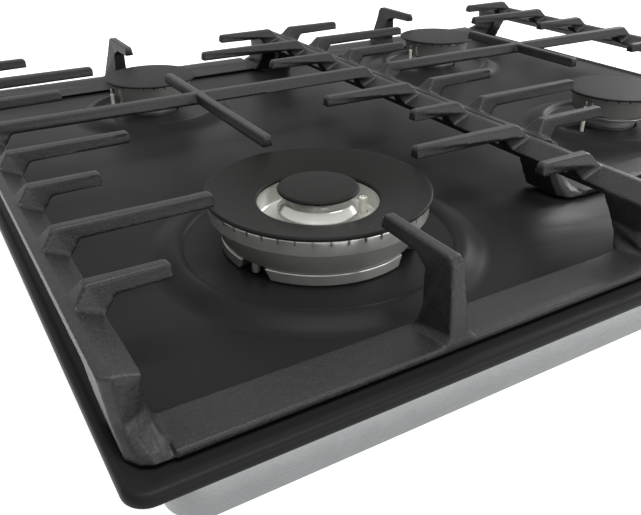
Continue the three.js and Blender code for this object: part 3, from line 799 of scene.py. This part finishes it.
# Caps: pressed discs; the wok's outer one is a ring that dips to its hole, with the middle cap in it
def wokCaps():
    burner = burners["wok"]
    top, edge, inner, dish = (burner[key] for key in ("top", "cap", "inner", "dish"))
    foot = top - burner["sheet"]
    ring = [(inner + 0.6, foot - dish), (edge - 0.8, foot, 0.6), (edge, foot + 0.6, 0.6),
            (edge, top - 0.8, 0.7), (edge - 1.0, top, 0.8), (inner + 1.0, top - dish + 0.1, 0.8),
            (inner, top - dish - 0.8, 0.8), (inner, foot - dish + 0.5, 0.4)]
    outer = turned("wok_ring_cap_pressing", ring, burner["centre"], capFinish, 144, 5, 60)
    settle(outer, "wok_ring_cap", "cap_enamel", "wok_ring_cap")
    edge, top, foot = burner["middle"], top + 0.2, foot + 0.2
    disc = [(0, foot), (edge - 0.8, foot, 0.5), (edge, foot + 0.6, 0.6), (edge, top - 0.8, 0.7),
            (edge - 1.0, top - 0.05, 0.8), (12, top + 0.2, 3), (0, top + 0.35)]
    middle = turned("wok_middle_cap_pressing", disc, burner["centre"], capFinish, 96, 5, 60)
    settle(middle, "wok_inner_cap", "cap_enamel", "wok_inner_cap")


def smallCap(name):
    burner = burners[name]
    top, foot, edge = burner["top"], burner["top"] - 1.7, burner["cap"]
    disc = [(0, foot - 4.6), (24.2, foot - 4.6, 0.6), (25.1, foot, 0.4), (edge - 0.6, foot, 0.4),
            (edge, foot + 0.5, 0.5), (edge, top - 0.6, 0.6), (edge - 0.8, top - 0.05, 0.6),
            (22, top + 0.2, 6), (0, top + 0.35)]
    cap = turned(name + "_cap_pressing", disc, burner["centre"], capFinish, 120, 5, 60)
    settle(cap, name + "_cap", "cap_enamel", name + "_cap")


# Cups: the neck passes the tray, the flange lies on its floor, the gas boss is below
cupSeat = 47.1
bossHeight = 27


def notchInto(work, centre, degrees):    # wedge that is wider at its foot
    near, far = notch["reach"]
    levels = []
    for z, half in notch["levels"]:
        corners = ((near, -half), (far, -half), (far, half), (near, half))
        levels.append(loopInto(work, [around(centre, radius, degrees + turn) for radius, turn in corners], z))
    stackInto(work, levels)


def cup(name):
    burner = burners[name]
    wide = name == "wok"
    neck, flange, (x, y) = burner["neck"], burner["flange"], burner["centre"]
    seat, inner = cupSeat, neck - 2.2
    profile = [(4, 16.2), (neck - 2, 16.2, 1.5), (neck, 20, 1.5), (neck, seat, 0.5),
               (flange - 0.5, seat, 0.3), (flange, seat + 0.6, 0.3), (flange - 0.1, seat + 5.8, 0.3),
               (flange - 0.4, seat + 6.1, 0.2), (inner, seat + 6.1), (inner, 19, 1), (4, 19)]
    side = -1 if name == "front_right" else 1    # the gas pipe comes from this side

    def rodBeside(radius, near, far, sides):
        ends = [(x + side * (neck + run), y, bossHeight) for run in (near, far)]
        return lambda work: rodInto(work, radius, *ends, sides)

    def buildNotches(work):
        for degrees in notch["degrees"]:
            notchInto(work, burner["centre"], degrees)

    finish = crownMetal if wide else cupMetal
    body = turned(name + "_burner_cup", profile, burner["centre"], finish, 96, 3)
    combine(body, rodBeside(7, -2, 11.9, 32), "UNION")
    combine(body, rodBeside(3.7, -5, 14, 20))
    if wide:
        combine(body, buildNotches)
    sharpen(body, 32)
    settle(body, "cooktop", "die_cast_aluminium", name + "_cup")


def pins(name):    # ceramic sleeve with a bare steel tip, and the sensor's steel rod
    burner = burners[name]
    tip, foot = burner["top"] - burner["tipBelow"], burner["pinFoot"]
    spark, sensor = (around(burner["centre"], *pin) for pin in burner["pins"])
    wide, bare = burner["sleeve"]
    sleeve = [(0, foot), (wide, foot, 0.2), (wide, tip - bare - 0.6, 0.5), (wide - 0.6, tip - bare, 0.4),
              (0.8, tip - bare, 0.2), (0.8, tip - 0.3, 0.3), (0, tip)]
    made = turned(name + "_spark_pin", sleeve, spark, ceramic, 28, 4)
    made.data.materials.append(steel)
    for face in made.data.polygons:
        face.material_index = 1 if face.center.z > (tip - bare) * mm else 0
    settle(made, "cooktop", "glazed_ceramic", name + "_electrode")
    rod = [(0, foot), (2.6, foot, 0.3), (2.6, foot + 8, 0.5), (1.7, foot + 9, 0.5), (1.7, tip - 1.8, 0.6),
           (1.0, tip - 0.6, 0.5), (0, tip - 0.35)]
    made = turned(name + "_sensor_rod", rod, sensor, steel, 28, 4)
    settle(made, "cooktop", "bright_steel", name + "_flame_sensor")


wokCrown()
wokCaps()
for name in burners:
    cup(name)
    pins(name)
    if name != "wok":
        smallCrown(name)
        smallCap(name)
print("burners made")

# Grates: the CAD casting with its edges softened as sand casting leaves them
casting = {
    "voxel": 0.9,
    "easing": 3,
    "thin": 0.3,    # share of the faces kept
}
# the photograph shows the rear bar further out and higher, and the rear arm's tip further back
rearBar = {
    "from": (214, 236),       # the shift grows between these two lines
    "back": 3.2,
    "lift": 2.6,
    "foot": (46.5, 49),       # the lift begins between these heights
    "head": (56, 76),         # and ends between these
    "armTip": (184, 190, 78),    # tip of the rear arm: y from, y to, above z
    "armHalf": 5,
    "armShift": {"left_grate": 8.2, "right_grate": 5.2},
    "postShift": {"left_grate": -1.6, "right_grate": 0},
    "postFade": (12, 30),     # the post's shift fades out between these distances from the middle line
}


def ramp(value, low, high):
    t = min(max((value - low) / (high - low), 0), 1)
    return t * t * (3 - 2 * t)


def asPhotographed(spot, node, middle):
    near, far, above = rearBar["armTip"]
    beside = abs(spot.x - middle)
    share = ramp(spot.y, *rearBar["from"])
    rise = share * ramp(spot.z, *rearBar["foot"]) * (1 - ramp(spot.z, *rearBar["head"]))
    tip = near < spot.y < far and spot.z > above and beside < rearBar["armHalf"]
    aside = rearBar["postShift"][node] * (1 - ramp(beside, *rearBar["postFade"]))
    ahead = rearBar["armShift"][node] if tip else share * rearBar["back"]
    return Vector((spot.x + aside, spot.y + ahead, spot.z + rise * rearBar["lift"]))


def castGrate(node):
    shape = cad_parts[node].data.copy()
    work = bmesh.new()
    work.from_mesh(shape)
    bmesh.ops.remove_doubles(work, verts=work.verts, dist=0.01 * mm)
    middle = middleOf(node)[0]
    for vert in work.verts:
        vert.co = asPhotographed(vert.co / mm, node, middle) * mm
    work.to_mesh(shape)
    work.free()
    shape.materials.clear()
    piece = newPiece(node + "_casting", shape, castIron)
    grain = piece.modifiers.new("grain", "REMESH")
    grain.mode, grain.voxel_size, grain.use_smooth_shade = "VOXEL", casting["voxel"] * mm, True
    ease = piece.modifiers.new("ease", "SMOOTH")
    ease.factor, ease.iterations = 0.5, casting["easing"]
    thin = piece.modifiers.new("thin", "DECIMATE")
    thin.ratio = casting["thin"]
    baked(piece)
    piece.data.materials.clear()
    piece.data.materials.append(castIron)
    smoothShaded(piece.data)
    print(node, len(piece.data.polygons), "faces")
    settle(piece, node, "enamelled_cast_iron", node)


def rubberFoot(node, i):
    padNode = f"{node}_foot_{i}"
    base, top = (corner.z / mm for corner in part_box(padNode))
    foot = [(0, base), (3.7, base, 0.6), (4.2, base + 0.6, 0.5), (4.0, top - 2.9, 0.3), (2.2, top - 2.6, 0.2),
            (2.2, top - 0.3, 0.3), (0, top)]
    pad = turned(f"{node}_pad_{i}", foot, middleOf(padNode), silicone, 28, 3)
    settle(pad, node, "silicone_rubber", padNode)


for grate in ("left_grate", "right_grate"):
    castGrate(grate)
    for i in (1, 2, 3, 4):
        rubberFoot(grate, i)
print("grates made")

# Knobs: a round skirt with a bar grip and a raised pointer line
knob = {
    "skirt": [(6, 49.6), (19.3, 49.6, 0.4), (20, 50.4, 0.8), (19.8, 51.4, 1), (18.4, 53.6, 1.0),
              (15.4, 54.2, 1.5), (6, 54.4)],
    # height, half width, half length, from the skirt to the finger face
    "grip": [(53.2, 9.6, 16.6), (54.6, 9.0, 16.3), (62, 8.5, 15.7), (68.2, 8.0, 15.2), (69.4, 7.4, 14.7),
             (70, 6.2, 13.6)],
    "bores": ((6.0, 56.1), (3.3, 62.3)),    # radius and top: over the tap's plug, round its spindle
    "boreFoot": 50,
    "mark": (1.0, 5.2, 14.0),    # half width, from and to this far from the axis
    "markLevels": ((69.4, 0), (70.5, 0), (70.75, 0.25)),    # height, drawn in
}


def buildGrip(work, centre):
    stackInto(work, [loopInto(work, outline(a, b, a * 0.55, 6, centre), z) for z, a, b in knob["grip"]])


def buildMark(work, centre):
    half, near, far = knob["mark"]
    middle = (centre[0], centre[1] + (near + far) / 2)
    stackInto(work, [loopInto(work, outline(half - inset, (far - near) / 2 - inset, 0.6, 3, middle), z)
                     for z, inset in knob["markLevels"]])


def makeKnob(node, centre):
    skirt = turned(node + "_skirt", knob["skirt"], centre, knobPlastic, 72, 3)
    settle(skirt, node, "black_plastic", node)
    grip = newPiece(node + "_grip", meshFrom(lambda work: buildGrip(work, centre)), knobPlastic, 40)
    for radius, top in knob["bores"]:
        combine(grip, lambda work: rodInto(work, radius, (*centre, knob["boreFoot"]), (*centre, top)))
    sharpen(grip, 40)
    settle(grip, node, "black_plastic", node)
    mark = newPiece(node + "_pointer", meshFrom(lambda work: buildMark(work, centre)), markPaint, 40)
    settle(mark, node, "black_plastic", node)


for i, centre in enumerate(knobPlaces):
    makeKnob(f"knob_{i + 1}", centre)
print("knobs made")

# Inner parts that stay as the CAD has them, by a part of their node's name
innerFinish = {
    "gas_tap_": brass, "tap_plug_": brass, "tap_spindle_": steel, "gas_inlet": brass, "gas_rail": casingMetal,
    "_gas_pipe": tubeMetal, "spark_generator": sparkPlastic, "mains_gland": glandPlastic,
}
for nodeName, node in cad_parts.items():
    for label, finish in innerFinish.items():
        if label in nodeName:
            node.data.materials.clear()
            node.data.materials.append(finish)
print("inner parts finished")

# Studio: white floor and surround, three soft boxes
studio = {
    "floor": "#f4f4f4",
    "floorDrop": 0.0006,    # below the casing, in metres
    "floorHalf": 12,
    "whiteGlow": 0.85,      # how bright the floor looks by itself, without lighting the object
    "ambient": 0.1,
    # place, aim and size in metres, then watts
    "lamps": {
        "overhead": ((-0.15, -0.4, 1.5), (-0.1, -0.1, 0), (1.1, 0.8), 22.0),
        "right": ((1.7, 0.35, 0.75), (0, 0, 0.04), (1.0, 0.7), 16.0),
        "front": ((0.8, -1.9, 0.6), (0, 0, 0.04), (1.8, 0.8), 20.0),
    },
}
white = (1, 1, 1, 1)


def onlySeen(tree):    # 1 where a camera, mirror or glass ray looks, 0 for light on the object
    path = addNode(tree, "ShaderNodeLightPath").outputs
    seen = path["Is Camera Ray"]
    for ray in ("Is Glossy Ray", "Is Transmission Ray"):
        seen = addNode(tree, "ShaderNodeMath", {0: seen, 1: path[ray]}, operation="MAXIMUM").outputs[0]
    return seen


def makeFloor():
    half = studio["floorHalf"]
    mesh = meshFrom(lambda work: bmesh.ops.create_grid(work, x_segments=1, y_segments=1, size=half))
    floor = bpy.data.objects.new("floor", mesh)
    scene.collection.objects.link(floor)
    floor.location.z = -studio["floorDrop"]
    material, tree = newMaterial("studio_floor")
    matt = addNode(tree, "ShaderNodeBsdfDiffuse", {"Color": shade(studio["floor"])})
    glow = addNode(tree, "ShaderNodeMath", {0: onlySeen(tree), 1: studio["whiteGlow"]}, operation="MULTIPLY")
    light = addNode(tree, "ShaderNodeEmission", {"Color": white, "Strength": glow.outputs[0]})
    both = addNode(tree, "ShaderNodeAddShader", {0: matt.outputs[0], 1: light.outputs[0]})
    addNode(tree, "ShaderNodeOutputMaterial", {"Surface": both.outputs[0]})
    floor.data.materials.append(material)


def makeWorld():
    world = bpy.data.worlds.new("studio")
    scene.world = world
    world.use_nodes = True
    tree = world.node_tree
    tree.nodes.clear()
    levels = {"Value": onlySeen(tree), "To Min": studio["ambient"], "To Max": 1.0}
    strength = addNode(tree, "ShaderNodeMapRange", levels)
    back = addNode(tree, "ShaderNodeBackground", {"Color": white, "Strength": strength.outputs[0]})
    addNode(tree, "ShaderNodeOutputWorld", {"Surface": back.outputs[0]})


def softBox(name, spot, aim, size, watts):
    lamp = bpy.data.lights.new(name, "AREA")
    lamp.shape, lamp.size, lamp.size_y, lamp.energy = "RECTANGLE", size[0], size[1], watts
    holder = bpy.data.objects.new(name, lamp)
    scene.collection.objects.link(holder)
    holder.location = spot
    holder.rotation_euler = (Vector(aim) - Vector(spot)).to_track_quat("-Z", "Y").to_euler()


makeFloor()
makeWorld()
for name, settings in studio["lamps"].items():
    softBox(name, *settings)
print("studio made")
